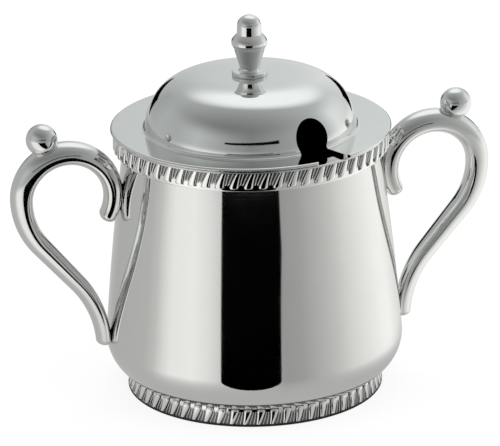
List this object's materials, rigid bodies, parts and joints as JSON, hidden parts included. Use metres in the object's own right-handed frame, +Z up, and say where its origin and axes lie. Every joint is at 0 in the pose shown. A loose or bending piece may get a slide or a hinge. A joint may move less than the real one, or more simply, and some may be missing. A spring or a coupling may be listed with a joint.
{
  "type": "sugar pot",
  "caption": "Round covered sugar pot of polished metal with scroll handles, gadroon borders and a lift-off domed lid with a spoon notch and a turned finial.",
  "frame": {"origin": "centre of the foot's resting plane, which is also the bottom centre of the bounding box", "axes": "+Z up, +X along the handles towards the right-hand handle, -Y towards the front, on the notch's side"},
  "size_m": [0.1576, 0.096, 0.1242],
  "materials": {
    "polished_steel": "mirror polished stainless steel",
    "struck_steel": "polished struck border, darker in the hollows",
    "cast_steel": "cast and polished, slightly softer than the vessel",
    "turned_steel": "turned and polished",
    "plain_steel": "unpolished stainless steel"
  },
  "bodies": {
    "pot": {"body_shell": "polished_steel", "mouth_rim": "polished_steel", "rim_gadroon_band": "struck_steel", "foot_ring": "polished_steel", "foot_gadroon_band": "struck_steel", "left_handle": "cast_steel", "right_handle": "cast_steel", "left_thumb_ball": "cast_steel", "right_thumb_ball": "cast_steel"},
    "lid": {"lid_shell": "polished_steel", "lid_locating_ring": "plain_steel", "finial_base_disc": "turned_steel", "finial_knob": "turned_steel", "finial_screw": "plain_steel", "finial_washer": "plain_steel"}
  },
  "joints": [
    {"name": "lid_lift", "type": "slide", "parent": "pot", "child": "lid", "axis": [0, 0, 1], "range_m": [0, 0.06]}
  ]
}
